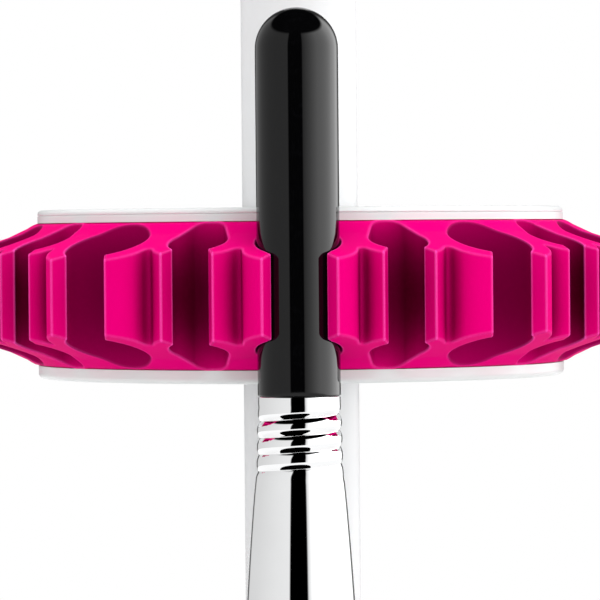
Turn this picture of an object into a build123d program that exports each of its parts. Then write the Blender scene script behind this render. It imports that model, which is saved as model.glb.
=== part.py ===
"""Brush drying tower: a weighted base, a two-piece pole, and a spool that slides and turns on the pole.

The spool clamps a flexible grip ring with ten large and ten small pockets. One make-up brush hangs head
down in a large pocket. Millimetres, +Z up, origin on the floor under the middle of the pole, loaded pocket
towards -Y.
"""

import os
from math import cos, radians, sin

from build123d import *

# ---------------------------------------------------------------- driving dimensions
base_radius = 82.5
base_rim_height = 14.0
pole_radius = 11.15
pole_wall = 1.8
pole_joint_height = 135.0
pole_top = 300.0
spool_height = 215.0  # middle of the grip ring above the floor

pocket_pairs = 10  # one large and one small pocket in each pair
flange_radius = 50.7
ring_half_height = 13.65  # where the ring leaves the flanges
shoulder_radius = 51.0  # a soft step just outside the flanges leads down to the cone
cone_radius = 54.9
cone_half_height = 11.42  # where the cone starts
ring_slope = 0.33  # how much the half height falls for each millimetre outwards
ring_bore = 45.05
lip_radius = 68.5

large_pocket_radius = 7.7
large_pocket_place = 59.4
small_pocket_radius = 5.4
small_pocket_place = 58.6
small_pocket_root_radius = 3.5
small_pocket_root_place = 54.3

handle_radius = 7.5
handle_top = 52.0  # above the middle of the ring
handle_foot = -18.0

# ---------------------------------------------------------------- clearances and walls
running_gap = 0.1
slide_gap = 0.2
snug_gap = 0.05

pocket_pitch = 180.0 / pocket_pairs  # degrees from a large pocket to the next small one
tooth_angle = pocket_pitch / 2

os.makedirs("parts", exist_ok=True)


def save(piece, name):
    """Labels a finished piece and writes its STEP file."""
    piece.label = name
    export_step(piece, f"parts/{name}.step")


def polar(radius, degrees):
    """A point in plan from its distance to the pole axis and its angle."""
    return (radius * cos(radians(degrees)), radius * sin(radians(degrees)))


# ================================================================ base
foot_height = 2.0
foot_radius = 8.0
foot_place = 68.0
plate_under = 1.2
plate_thickness = 2.4
plate_top = plate_under + plate_thickness
plate_radius = 79.8
shell_wall = 2.2
tray_floor = 11.0
tray_rise = 13.0
boss_radius = 15.5
boss_top = 25.0
socket_floor = 7.0
socket_floor_thickness = 3.0
pole_foot = socket_floor + socket_floor_thickness
shell_skirt_wall = 2.5
tray_edge_place = base_radius - 13.0
boss_foot_radius = boss_radius + 12.0
screw_hole_radius = 2.8
socket_wall = 2.3
screw_place = 66.0
screw_post_radius = 4.0
base_screw_count = 4
base_screw_radius = 1.5
base_screw_head = 3.0
base_screw_length = 6.4
ballast_radius = 58.0
ballast_bore = 20.0
ballast_thickness = 4.8
plate_bore = 9.0

# Base shell: a shallow drip tray round a boss with the pole's socket. Moulded, open underneath.
with BuildPart() as base_shell:
    with BuildSketch(Plane.XZ):
        with BuildLine():
            outer = Polyline(
                (base_radius - 1.0, plate_under),
                (base_radius, plate_under + 1.0),
                (base_radius, base_rim_height - 3.0),
            )
            rim = ThreePointArc(
                outer @ 1,
                (base_radius - 1.0, base_rim_height - 0.8),
                (base_radius - 3.4, base_rim_height),
            )
            tray_edge = Spline(
                rim @ 1,
                (base_radius - 7.0, base_rim_height - 1.6),
                (tray_edge_place, tray_floor),
                tangents=[(-1, 0), (-1, 0.02)],
            )
            tray = Line(tray_edge @ 1, (boss_foot_radius, tray_rise))
            sweep_up = Spline(
                tray @ 1,
                (boss_radius + 3.0, boss_top - 7.5),
                (boss_radius, boss_top - 1.0),
                tangents=[(-1, 0.05), (-0.1, 1)],
            )
            Polyline(
                sweep_up @ 1,
                (boss_radius - 1.0, boss_top),
                (pole_radius + running_gap, boss_top),
                (pole_radius + running_gap, pole_foot),
                (screw_hole_radius, pole_foot),
                (screw_hole_radius, socket_floor),
                (pole_radius + socket_wall + running_gap, socket_floor),
                (pole_radius + socket_wall + running_gap, tray_rise + 1.0),
                (boss_foot_radius, tray_rise - shell_wall),
                (tray_edge_place, tray_floor - shell_wall),
                (base_radius - 6.0, tray_floor - shell_wall + 0.6),
                (base_radius - shell_skirt_wall, tray_floor - shell_wall + 0.2),
                (base_radius - shell_skirt_wall, plate_under),
                outer @ 0,
            )
        make_face()
    revolve(axis=Axis.Z)
    with BuildSketch(Plane.XY.offset(plate_top)):
        with PolarLocations(screw_place, base_screw_count, start_angle=45):
            Circle(screw_post_radius)
    extrude(amount=tray_floor - shell_wall - plate_top + 0.4)
    with BuildSketch(Plane.XY.offset(plate_top)):
        with PolarLocations(screw_place, base_screw_count, start_angle=45):
            Circle(base_screw_radius)
    extrude(amount=base_screw_length - plate_thickness + 1.0, mode=Mode.SUBTRACT)
save(base_shell.part, "base_shell")

# Ballast: a steel ring that keeps the loaded tower from tipping.
with BuildPart() as base_ballast:
    with BuildSketch(Plane.XY.offset(plate_top)):
        Circle(ballast_radius)
        Circle(ballast_bore, mode=Mode.SUBTRACT)
    extrude(amount=ballast_thickness)
    chamfer(base_ballast.edges().filter_by(GeomType.CIRCLE), 0.4)
save(base_ballast.part, "base_ballast")

# Base plate: closes the underside and carries the ballast.
with BuildPart() as base_plate:
    with BuildSketch(Plane.XY.offset(plate_under)):
        Circle(plate_radius)
        Circle(plate_bore, mode=Mode.SUBTRACT)
    extrude(amount=plate_thickness)
    with BuildSketch(Plane.XY.offset(plate_under)):
        with PolarLocations(foot_place, 4):
            Circle(foot_radius + slide_gap)
    extrude(amount=foot_height - plate_under, mode=Mode.SUBTRACT)
    with Locations(Plane.XY.offset(plate_under).rotated((180, 0, 0))):
        with PolarLocations(screw_place, base_screw_count, start_angle=45):
            CounterSinkHole(
                base_screw_radius + 0.2,
                base_screw_head + 0.2,
                depth=plate_thickness,
                counter_sink_angle=90,
            )
save(base_plate.part, "base_plate")

# Foot pads: four rubber discs bonded into the base plate.
with BuildPart() as foot_pads:
    with BuildSketch(Plane.XY):
        with PolarLocations(foot_place, 4):
            Circle(foot_radius)
    extrude(amount=foot_height)
    chamfer(foot_pads.faces().sort_by(Axis.Z)[:4].edges(), 0.5)
save(foot_pads.part, "foot_pads")


def countersunk_screw(head_radius, shank_radius, length):
    """A cross-recess screw, head face at z = 0, shank pointing down."""
    head_depth = head_radius - shank_radius
    recess_length = head_radius * 1.1
    recess_width = head_radius * 0.28
    with BuildPart() as screw:
        with BuildSketch(Plane.XZ):
            Polygon(
                (0, 0),
                (head_radius, 0),
                (shank_radius, -head_depth),
                (shank_radius, -length + 1.0),
                (0.3, -length),
                (0, -length),
                align=None,
            )
        revolve(axis=Axis.Z)
        with BuildSketch(Plane.XY):
            Rectangle(recess_length, recess_width)
            Rectangle(recess_width, recess_length)
        extrude(amount=-head_depth * 0.7, mode=Mode.SUBTRACT)
    return screw.part


# Base plate screws: four self-tapping screws driven from below.
base_screw = Rot(180, 0, 0) * countersunk_screw(
    base_screw_head, base_screw_radius - snug_gap, base_screw_length
)
with BuildPart() as base_plate_screws:
    with PolarLocations(screw_place, base_screw_count, start_angle=45):
        add(Pos(0, 0, plate_under + snug_gap) * base_screw)
save(base_plate_screws.part, "base_plate_screws")

# ================================================================ pole
tube_bore = pole_radius - pole_wall
plug_radius = tube_bore - snug_gap
joiner_length = 40.0
joiner_wall = 2.2
pole_screw_radius = 2.5
foot_plug_length = 14.0
relief_place = 6.2
relief_radius = 1.6
relief_depth = 5.0
relief_count = 6
washer_radius = 6.5
washer_thickness = 1.0
screw_head_radius = 4.6
screw_head_height = 3.0
pole_screw_length = 14.0
hex_socket_radius = 2.3
hex_socket_depth = 2.0

with BuildPart() as lower_pole:
    with BuildSketch(Plane.XY.offset(pole_foot)):
        Circle(pole_radius)
        Circle(tube_bore, mode=Mode.SUBTRACT)
    extrude(amount=pole_joint_height - pole_foot)
save(lower_pole.part, "lower_pole")

with BuildPart() as upper_pole:
    with BuildSketch(Plane.XY.offset(pole_joint_height)):
        Circle(pole_radius)
        Circle(tube_bore, mode=Mode.SUBTRACT)
    extrude(amount=pole_top - pole_joint_height)
    chamfer(upper_pole.faces().sort_by(Axis.Z)[-1].edges(), 0.3)
save(upper_pole.part, "upper_pole")

# Pole joiner: a hollow spigot that holds the two tubes in line.
with BuildPart() as pole_joiner:
    with BuildSketch(Plane.XY.offset(pole_joint_height - joiner_length / 2)):
        Circle(plug_radius)
        Circle(plug_radius - joiner_wall, mode=Mode.SUBTRACT)
    extrude(amount=joiner_length)
    chamfer(pole_joiner.edges().filter_by(GeomType.CIRCLE).group_by(SortBy.RADIUS)[-1], 0.6)
save(pole_joiner.part, "pole_joiner")

# Pole foot plug: a threaded insert in the lower tube that the pole screw pulls on.
with BuildPart() as pole_foot_plug:
    with BuildSketch(Plane.XY.offset(pole_foot)):
        Circle(plug_radius)
        Circle(pole_screw_radius + snug_gap, mode=Mode.SUBTRACT)
    extrude(amount=foot_plug_length)
    with BuildSketch(Plane.XY.offset(pole_foot + foot_plug_length - relief_depth)):
        with PolarLocations(relief_place, relief_count):
            Circle(relief_radius)
    extrude(amount=relief_depth, mode=Mode.SUBTRACT)
save(pole_foot_plug.part, "pole_foot_plug")

# Washer and screw under the socket floor.
with BuildPart() as pole_washer:
    with BuildSketch(Plane.XY.offset(socket_floor - washer_thickness)):
        Circle(washer_radius)
        Circle(pole_screw_radius + slide_gap, mode=Mode.SUBTRACT)
    extrude(amount=washer_thickness)
save(pole_washer.part, "pole_washer")

screw_head_top = socket_floor - washer_thickness
with BuildPart() as pole_screw:
    with BuildSketch(Plane.XY.offset(screw_head_top - screw_head_height)):
        Circle(screw_head_radius)
    extrude(amount=screw_head_height)
    fillet(pole_screw.faces().sort_by(Axis.Z)[0].edges(), 1.0)
    with BuildSketch(Plane.XY.offset(screw_head_top)):
        Circle(pole_screw_radius)
    extrude(amount=pole_screw_length)
    with BuildSketch(Plane.XY.offset(screw_head_top - screw_head_height)):
        RegularPolygon(hex_socket_radius, 6)
    extrude(amount=hex_socket_depth, mode=Mode.SUBTRACT)
save(pole_screw.part, "pole_screw")

# Top cap: a domed plug, a little wider than the tube, so the spool can't run off the top.
cap_radius = 12.0
cap_side = 2.6
cap_rise = 4.4
cap_spigot = 12.0  # how far the cap reaches into the tube
cap_wall = 2.0
dome_radius = (cap_radius**2 + cap_rise**2) / (2 * cap_rise)
with BuildPart() as top_cap:
    with BuildSketch(Plane.XZ):
        with BuildLine():
            skirt = Polyline(
                (0, pole_top - cap_wall),
                (plug_radius - cap_wall, pole_top - cap_wall),
                (plug_radius - cap_wall, pole_top - cap_spigot),
                (plug_radius - 0.5, pole_top - cap_spigot),
                (plug_radius, pole_top - cap_spigot + 0.5),
                (plug_radius, pole_top),
                (cap_radius, pole_top),
                (cap_radius, pole_top + cap_side),
            )
            dome = RadiusArc(skirt @ 1, (0, pole_top + cap_side + cap_rise), -dome_radius)
            Line(dome @ 1, skirt @ 0)
        make_face()
    revolve(axis=Axis.Z)
save(top_cap.part, "top_cap")

# ================================================================ spool on the pole
# Heights in this section are measured from the middle of the grip ring.
flange_thickness = 2.5
spool_bottom = -ring_half_height - flange_thickness
clamp_plate_thickness = 1.4
clamp_plate_top = ring_half_height + clamp_plate_thickness
cover_thickness = 1.1
parting_bevel = 0.15  # breaks the edges where the cover meets the clamp plate
clamp_plate_bore = 19.0
cover_lip_radius = clamp_plate_bore - 0.15
cover_lip_wall = 0.85
cover_lip_depth = 0.9
pole_clearance = 0.45

sleeve_bore = pole_radius + slide_gap
sleeve_radius = 14.5
sleeve_foot_radius = 18.0
sleeve_foot_thickness = 1.5
sleeve_top = 14.6
thrust_washer_radius = 17.4
thrust_washer_thickness = 0.8
clip_bottom = 13.5
clip_thickness = 0.8
clip_radius = 16.2
clip_groove_radius = 13.6
clip_ear_place = (4.0, 14.9)
clip_ear_radius = 1.6
clip_ear_hole = 0.6
clip_gap = 6.0
grip_section = 0.9
grip_place = pole_radius + snug_gap + grip_section
grip_heights = (-8.0, 8.0)


def spool_level(height):
    """A horizontal plane at a height above the middle of the grip ring."""
    return Plane.XY.offset(spool_height + height)


# Hub sleeve: slides on the pole; the spool turns on its outside.
with BuildPart() as hub_sleeve:
    with BuildSketch(spool_level(spool_bottom)):
        Circle(sleeve_foot_radius)
        Circle(sleeve_bore, mode=Mode.SUBTRACT)
    extrude(amount=sleeve_foot_thickness)
    with BuildSketch(spool_level(spool_bottom + sleeve_foot_thickness)):
        Circle(sleeve_radius)
        Circle(sleeve_bore, mode=Mode.SUBTRACT)
    extrude(amount=sleeve_top - spool_bottom - sleeve_foot_thickness)
    for height in grip_heights:
        with BuildSketch(spool_level(height - grip_section - snug_gap)):
            Circle(grip_place + grip_section + snug_gap)
            Circle(pole_radius, mode=Mode.SUBTRACT)
        extrude(amount=2 * (grip_section + snug_gap), mode=Mode.SUBTRACT)
    with BuildSketch(spool_level(clip_bottom - snug_gap)):
        Circle(sleeve_foot_radius)
        Circle(clip_groove_radius, mode=Mode.SUBTRACT)
    extrude(amount=clip_thickness + 2 * snug_gap, mode=Mode.SUBTRACT)
save(hub_sleeve.part, "hub_sleeve")

# Pole grips: two rubber rings in the sleeve that hold the spool at any height by friction.
with BuildPart() as pole_grips:
    for height in grip_heights:
        with Locations((0, 0, spool_height + height)):
            Torus(grip_place, grip_section)
save(pole_grips.part, "pole_grips")

# Thrust washer and spring clip that keep the spool on its sleeve.
with BuildPart() as thrust_washer:
    with BuildSketch(spool_level(clip_bottom - snug_gap - thrust_washer_thickness)):
        Circle(thrust_washer_radius)
        Circle(sleeve_radius + snug_gap, mode=Mode.SUBTRACT)
    extrude(amount=thrust_washer_thickness)
save(thrust_washer.part, "thrust_washer")

with BuildPart() as hub_clip:
    with BuildSketch(spool_level(clip_bottom)):
        Circle(clip_radius)
        with Locations((0, clip_radius)):
            Rectangle(clip_gap, clip_radius, mode=Mode.SUBTRACT)
        with Locations(clip_ear_place, (-clip_ear_place[0], clip_ear_place[1])):
            Circle(clip_ear_radius)
            Circle(clip_ear_hole, mode=Mode.SUBTRACT)
        Circle(clip_groove_radius + snug_gap, mode=Mode.SUBTRACT)
    extrude(amount=clip_thickness)
save(hub_clip.part, "hub_clip")

# Spool drum: lower flange, hub and the round wall that the grip ring is stretched over.
drum_wall_radius = 45.0
drum_wall = 2.0
hub_bore = sleeve_radius + running_gap
hub_radius = 17.5
hub_top = clip_bottom - thrust_washer_thickness - 2 * snug_gap - running_gap
rib_count = 6
rib_width = 1.6
rib_top = 8.0
screw_boss_place = 36.0
screw_boss_radius = 3.6
spool_screw_radius = 1.3
spool_screw_head = 2.3
spool_screw_length = 11.0
key_count = 10
key_width = 3.0
key_height = 1.2

with BuildPart() as spool_drum:
    with BuildSketch(spool_level(spool_bottom)):
        Circle(flange_radius)
    extrude(amount=flange_thickness)
    fillet(spool_drum.faces().sort_by(Axis.Z)[0].edges(), 1.0)
    with BuildSketch(spool_level(-ring_half_height)):
        Circle(drum_wall_radius)
        with PolarLocations(drum_wall_radius, key_count):
            Rectangle(2 * key_height, key_width)
        Circle(drum_wall_radius - drum_wall, mode=Mode.SUBTRACT)
        with PolarLocations(screw_boss_place, rib_count):
            Circle(screw_boss_radius)
    extrude(amount=2 * ring_half_height)
    with BuildSketch(spool_level(-ring_half_height)):
        with PolarLocations((hub_radius + drum_wall_radius) / 2, rib_count, start_angle=30):
            Rectangle(drum_wall_radius - hub_radius - 1.0, rib_width)
    extrude(amount=ring_half_height + rib_top)
    with BuildSketch(spool_level(-ring_half_height)):
        Circle(hub_radius)
    extrude(amount=ring_half_height + hub_top)
    with BuildSketch(spool_level(spool_bottom)):
        Circle(hub_bore)
    extrude(amount=2 * ring_half_height + 2 * flange_thickness, mode=Mode.SUBTRACT)
    with BuildSketch(spool_level(spool_bottom)):
        Circle(sleeve_foot_radius + slide_gap)
    extrude(amount=sleeve_foot_thickness + running_gap, mode=Mode.SUBTRACT)
    with BuildSketch(spool_level(0)):
        with PolarLocations(screw_boss_place, rib_count):
            Circle(spool_screw_radius)
    extrude(amount=ring_half_height, mode=Mode.SUBTRACT)
save(spool_drum.part, "spool_drum")

# Clamp plate: the upper flange, screwed to the drum after the ring is on.
with BuildPart() as clamp_plate:
    with BuildSketch(spool_level(ring_half_height)):
        Circle(flange_radius)
        Circle(clamp_plate_bore, mode=Mode.SUBTRACT)
    extrude(amount=clamp_plate_thickness)
    rim_edges = clamp_plate.edges().filter_by(GeomType.CIRCLE).group_by(SortBy.RADIUS)[-1]
    chamfer(rim_edges.sort_by(Axis.Z)[-1], parting_bevel)
    with Locations(spool_level(clamp_plate_top)):
        with PolarLocations(screw_boss_place, rib_count):
            CounterSinkHole(
                spool_screw_radius + 0.2,
                spool_screw_head + 0.1,
                depth=clamp_plate_thickness,
                counter_sink_angle=90,
            )
save(clamp_plate.part, "clamp_plate")

spool_screw = countersunk_screw(spool_screw_head, spool_screw_radius - snug_gap, spool_screw_length)
with BuildPart() as clamp_screws:
    with PolarLocations(screw_boss_place, rib_count):
        add(Pos(0, 0, spool_height + clamp_plate_top - snug_gap) * spool_screw)
save(clamp_screws.part, "clamp_screws")

# Spool cover: a thin disc that hides the screws and closes the spool round the pole.
with BuildPart() as spool_cover:
    with BuildSketch(spool_level(clamp_plate_top)):
        Circle(flange_radius)
    extrude(amount=cover_thickness)
    chamfer(spool_cover.faces().sort_by(Axis.Z)[0].edges(), parting_bevel)
    fillet(spool_cover.faces().sort_by(Axis.Z)[-1].edges(), 0.8)
    with BuildSketch(spool_level(clamp_plate_top - cover_lip_depth)):
        Circle(cover_lip_radius)
        Circle(cover_lip_radius - cover_lip_wall, mode=Mode.SUBTRACT)
    extrude(amount=cover_lip_depth)
    with BuildSketch(spool_level(clamp_plate_top)):
        Circle(pole_radius + pole_clearance)
    extrude(amount=cover_thickness, mode=Mode.SUBTRACT)
save(spool_cover.part, "spool_cover")

# ================================================================ grip ring
# Each tooth splits into a long lip beside a large pocket and a short lip beside a small pocket.
# Places are (radius, degrees from the tooth's middle line), positive towards the large pocket.
long_lip_inner = (65.95, 5.2)
long_lip_outer = (lip_radius, 3.8)
notch = (62.1, -1.3)
short_lip_outer = (65.4, -4.7)
short_lip_inner = (62.96, -5.9)
# Degrees that the brush moves a long lip's inner corner, its outer corner and its notch, on each side.
loaded_shift = {1: (0.39, 0.17, -0.77), -1: (0.72, 0.73, 0.0)}
long_face_bow = 1.3  # how far a tooth's faces bulge outwards on each side of its notch
short_face_bow = 0.45
ring_blank_radius = lip_radius + 1.0


def tooth_outline(side, middle, loaded=False):
    """One tooth's face in plan, from pocket middle to pocket middle. side is +1 or -1."""
    inner_open, outer_open, notch_open = loaded_shift[side] if loaded else (0.0, 0.0, 0.0)

    def place(point, shift=0.0):
        return polar(point[0], middle + side * (point[1] - shift))

    large_middle = polar(large_pocket_place, middle + side * tooth_angle)
    small_middle = polar(small_pocket_place, middle - side * tooth_angle)
    with BuildSketch(Plane.XY, mode=Mode.PRIVATE) as tooth:
        with BuildLine():
            Polyline(large_middle, place(long_lip_inner, inner_open), place(long_lip_outer, outer_open))
            SagittaArc(place(long_lip_outer, outer_open), place(notch, notch_open), side * long_face_bow)
            SagittaArc(place(notch, notch_open), place(short_lip_outer), side * short_face_bow)
            Polyline(
                place(short_lip_outer),
                place(short_lip_inner),
                small_middle,
                polar(ring_bore, middle - side * tooth_angle),
                polar(ring_bore, middle + side * tooth_angle),
                large_middle,
            )
        make_face()
    return tooth.sketch


def small_pocket_outline(angle):
    """A small pocket in plan: a round bore that narrows to a rounded root."""
    with BuildSketch(Plane.XY, mode=Mode.PRIVATE) as pocket:
        with Locations(polar(small_pocket_place, angle)):
            Circle(small_pocket_radius)
        with Locations(polar(small_pocket_root_place, angle)):
            Circle(small_pocket_root_radius)
        make_hull()
    return pocket.sketch


ring_section = Plane(origin=(0, 0, spool_height), x_dir=(1, 0, 0), z_dir=(0, -1, 0))
with BuildPart() as brush_grip_ring:
    with BuildSketch(ring_section):
        shoulder_half_height = ring_half_height - ring_slope * (shoulder_radius - flange_radius)
        blank_half_height = cone_half_height - ring_slope * (ring_blank_radius - cone_radius)
        with BuildLine():
            seat = Polyline(
                (ring_bore, 0),
                (ring_bore, ring_half_height),
                (flange_radius, ring_half_height),
                (shoulder_radius, shoulder_half_height),
            )
            step = Spline(
                seat @ 1,
                (cone_radius, cone_half_height),
                tangents=[(1, -ring_slope), (1, -ring_slope)],
            )
            Polyline(step @ 1, (ring_blank_radius, blank_half_height), (ring_blank_radius, 0), seat @ 0)
        make_face()
        mirror(about=Plane.XZ)
    revolve(axis=Axis.Z)
    with BuildSketch(spool_level(-ring_half_height - 1.0)):
        Circle(small_pocket_root_place)
        for pair in range(pocket_pairs):
            large_angle = -90 + pair * 2 * pocket_pitch
            for side in (1, -1):
                add(tooth_outline(side, large_angle - side * tooth_angle, loaded=pair == 0))
        with PolarLocations(large_pocket_place, pocket_pairs, start_angle=-90):
            Circle(large_pocket_radius, mode=Mode.SUBTRACT)
        for pair in range(pocket_pairs):
            add(small_pocket_outline(-90 + (2 * pair + 1) * pocket_pitch), mode=Mode.SUBTRACT)
        Circle(ring_bore, mode=Mode.SUBTRACT)
        with PolarLocations(drum_wall_radius, key_count):
            Rectangle(2 * (key_height + snug_gap), key_width + 2 * snug_gap, mode=Mode.SUBTRACT)
    extrude(amount=2 * ring_half_height + 2.0, mode=Mode.INTERSECT)
save(brush_grip_ring.part, "brush_grip_ring")

# ================================================================ make-up brush in the loaded pocket
# Heights in this section are measured from the middle of the grip ring, down the brush's own axis.
brush_middle = (0, -large_pocket_place, spool_height)
brush_section = Plane(origin=brush_middle, x_dir=(1, 0, 0), z_dir=(0, -1, 0))
brush_turn = Axis(brush_middle, (0, 0, 1))
tenon_radius = 6.4
tenon_length = 14.0
ferrule_wall = 0.45
ferrule_mouth = -67.0
glue_top = handle_foot - tenon_length - 0.3
glue_bottom = -50.0
glue_radius = 8.7

with BuildPart() as brush_handle:
    with BuildSketch(brush_section):
        with BuildLine():
            side_line = Polyline(
                (0, handle_foot - tenon_length),
                (tenon_radius - 0.6, handle_foot - tenon_length),
                (tenon_radius, handle_foot - tenon_length + 0.6),
                (tenon_radius, handle_foot),
                (handle_radius, handle_foot),
                (handle_radius, handle_top - handle_radius),
            )
            end_dome = CenterArc((0, handle_top - handle_radius), handle_radius, 0, 90)
            Line(end_dome @ 1, side_line @ 0)
        make_face()
    revolve(axis=brush_turn)
save(brush_handle.part, "brush_handle")

# Ferrule: a thin drawn tube, straight where it is crimped on the handle and wider towards the bristles.
ferrule_line = (
    (7.40, handle_foot),
    (7.45, -24.0),
    (7.60, -31.0),
    (8.45, -39.0),
    (9.40, -50.0),
    (10.00, -60.0),
    (10.20, ferrule_mouth),
)
with BuildPart() as brush_ferrule:
    with BuildSketch(brush_section):
        with BuildLine():
            outside = Spline(*ferrule_line)
            inside = Spline(*[(radius - ferrule_wall, height) for radius, height in ferrule_line])
            Line(outside @ 0, inside @ 0)
            Line(outside @ 1, inside @ 1)
        make_face()
    revolve(axis=brush_turn)
save(brush_ferrule.part, "brush_ferrule")

# Glue plug: the resin that was poured on the butts of the hairs inside the ferrule.
with BuildPart() as brush_glue_plug:
    with BuildSketch(brush_section):
        Polygon(
            (0, glue_top),
            (7.1, glue_top),
            (7.75, -39.0),
            (glue_radius, glue_bottom),
            (0, glue_bottom),
            align=None,
        )
    revolve(axis=brush_turn)
save(brush_glue_plug.part, "brush_glue_plug")

# Bristle bundle: packed hair that spreads from the ferrule to a rounded flat top.
bristle_tip = -98.0
bristle_radius = 14.6
mouth_bundle_radius = 9.6
tip_radius = 10.6
tip_rise = 1.2
tip_dome_radius = (tip_radius**2 + tip_rise**2) / (2 * tip_rise)
with BuildPart() as brush_bristles:
    with BuildSketch(brush_section):
        with BuildLine():
            butt = Polyline(
                (0, glue_bottom - snug_gap),
                (glue_radius, glue_bottom - snug_gap),
                (mouth_bundle_radius, ferrule_mouth),
            )
            spread = Spline(
                butt @ 1,
                (12.0, -78.0),
                (bristle_radius, -92.0),
                tangents=[(0.08, -1), (0.05, -1)],
            )
            shoulder = RadiusArc(spread @ 1, (tip_radius, bristle_tip + tip_rise), 4.6)
            tip = RadiusArc(shoulder @ 1, (0, bristle_tip), tip_dome_radius)
            Line(tip @ 1, butt @ 0)
        make_face()
    revolve(axis=brush_turn)
save(brush_bristles.part, "brush_bristles")
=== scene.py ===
from math import acos, atan2, cos, degrees, pi, radians, sin, tan
from random import Random

import bmesh
import bpy
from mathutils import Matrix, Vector
from mathutils.geometry import delaunay_2d_cdt


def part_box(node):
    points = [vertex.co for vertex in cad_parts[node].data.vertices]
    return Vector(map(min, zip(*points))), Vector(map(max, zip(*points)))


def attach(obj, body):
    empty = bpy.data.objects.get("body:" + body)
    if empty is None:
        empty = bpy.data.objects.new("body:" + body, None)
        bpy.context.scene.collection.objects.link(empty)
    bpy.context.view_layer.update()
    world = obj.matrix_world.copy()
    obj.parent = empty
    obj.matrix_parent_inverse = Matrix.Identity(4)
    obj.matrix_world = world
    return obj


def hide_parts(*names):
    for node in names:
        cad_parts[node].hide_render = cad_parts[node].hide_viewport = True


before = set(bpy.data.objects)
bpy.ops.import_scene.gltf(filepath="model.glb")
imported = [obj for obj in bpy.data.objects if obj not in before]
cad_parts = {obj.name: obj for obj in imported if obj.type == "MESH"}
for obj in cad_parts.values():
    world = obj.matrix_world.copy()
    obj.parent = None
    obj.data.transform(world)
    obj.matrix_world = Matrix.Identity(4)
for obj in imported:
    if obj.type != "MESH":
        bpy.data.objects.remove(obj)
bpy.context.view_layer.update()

mm = 0.001

# ---------------------------------------------------------------- base shell
# The weighted foot of the tower: one white moulding, a drip tray with a raised boss for the pole.
# It is injection moulded in ABS, polished on the show side, and takes its screws from below.


def blank_tree(owner):
    """Turns on the nodes of a material or a world and clears them; gives its nodes and its links."""
    owner.use_nodes = True
    owner.node_tree.nodes.clear()
    return owner.node_tree.nodes, owner.node_tree.links


def lay_out(start, ends, *effects):
    """Sets nodes in columns: the start, a row in its own frame for each effect, and then the ends."""
    column_width = 300
    row_height = 350
    start.location = (-column_width, 0)
    for row, (effect_frame, *chain) in enumerate(effects):
        for column, node in enumerate(chain):
            node.parent = effect_frame
            node.location = (column_width * column, -row_height * row)
    longest = max(len(effect) for effect in effects)
    for column, node in enumerate(ends):
        node.location = (column_width * (longest + column), 0)


def moulded_plastic(name, colour, shade, roughness, grain, grain_depth):
    """White or grey moulded plastic: a faint drift in tint, uneven gloss and the fine grain of the tool."""
    material = bpy.data.materials.new(name)
    nodes, links = blank_tree(material)

    tint_frame = nodes.new("NodeFrame")
    tint_frame.label = "Tint"
    gloss_frame = nodes.new("NodeFrame")
    gloss_frame.label = "Gloss"
    grain_frame = nodes.new("NodeFrame")
    grain_frame.label = "Tool grain"

    place = nodes.new("ShaderNodeTexCoord")
    place.label = "Place on the piece"

    drift = nodes.new("ShaderNodeTexNoise")
    drift.label = "Slow drift in the melt"
    drift.inputs["Scale"].default_value = 22.0
    drift.inputs["Detail"].default_value = 3.0
    drift.inputs["Roughness"].default_value = 0.55

    tint = nodes.new("ShaderNodeValToRGB")
    tint.label = "White to a shade under"
    tint.color_ramp.elements[0].position = 0.3
    tint.color_ramp.elements[0].color = (*shade, 1.0)
    tint.color_ramp.elements[1].position = 0.7
    tint.color_ramp.elements[1].color = (*colour, 1.0)

    handling = nodes.new("ShaderNodeTexNoise")
    handling.label = "Where hands polish it"
    handling.inputs["Scale"].default_value = 60.0
    handling.inputs["Detail"].default_value = 5.0

    gloss = nodes.new("ShaderNodeMapRange")
    gloss.label = "Uneven gloss"
    gloss.inputs["From Min"].default_value = 0.3
    gloss.inputs["From Max"].default_value = 0.7
    gloss.inputs["To Min"].default_value = roughness * 0.88
    gloss.inputs["To Max"].default_value = roughness * 1.12

    pits = nodes.new("ShaderNodeTexNoise")
    pits.label = "Spark-eroded pits"
    pits.inputs["Scale"].default_value = 1.0 / grain
    pits.inputs["Detail"].default_value = 2.0

    relief = nodes.new("ShaderNodeBump")
    relief.label = "Grain relief"
    relief.inputs["Strength"].default_value = 0.35
    relief.inputs["Distance"].default_value = grain_depth

    surface = nodes.new("ShaderNodeBsdfPrincipled")
    surface.label = "Moulded surface"
    surface.inputs["IOR"].default_value = 1.46
    surface.inputs["Subsurface Weight"].default_value = 0.08
    surface.inputs["Subsurface Radius"].default_value = (1.0, 0.9, 0.8)
    surface.inputs["Subsurface Scale"].default_value = 0.8 * mm

    output = nodes.new("ShaderNodeOutputMaterial")
    output.label = "Finished piece"

    lay_out(
        place,
        (surface, output),
        (tint_frame, drift, tint),
        (gloss_frame, handling, gloss),
        (grain_frame, pits, relief),
    )
    links.new(place.outputs["Object"], drift.inputs["Vector"])
    links.new(place.outputs["Object"], handling.inputs["Vector"])
    links.new(place.outputs["Object"], pits.inputs["Vector"])
    links.new(drift.outputs["Fac"], tint.inputs["Fac"])
    links.new(tint.outputs["Color"], surface.inputs["Base Color"])
    links.new(handling.outputs["Fac"], gloss.inputs["Value"])
    links.new(gloss.outputs["Result"], surface.inputs["Roughness"])
    links.new(pits.outputs["Fac"], relief.inputs["Height"])
    links.new(relief.outputs["Normal"], surface.inputs["Normal"])
    links.new(surface.outputs["BSDF"], output.inputs["Surface"])
    return material


def finish_node(node, material):
    """Gives a node of the frame its material in place of the plain one."""
    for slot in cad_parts[node].material_slots:
        slot.material = material


white_moulding = moulded_plastic(
    "white_moulding", (0.72, 0.735, 0.735), (0.695, 0.71, 0.71), 0.32, 0.35 * mm, 0.012 * mm
)
finish_node("base_shell", white_moulding)

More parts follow.
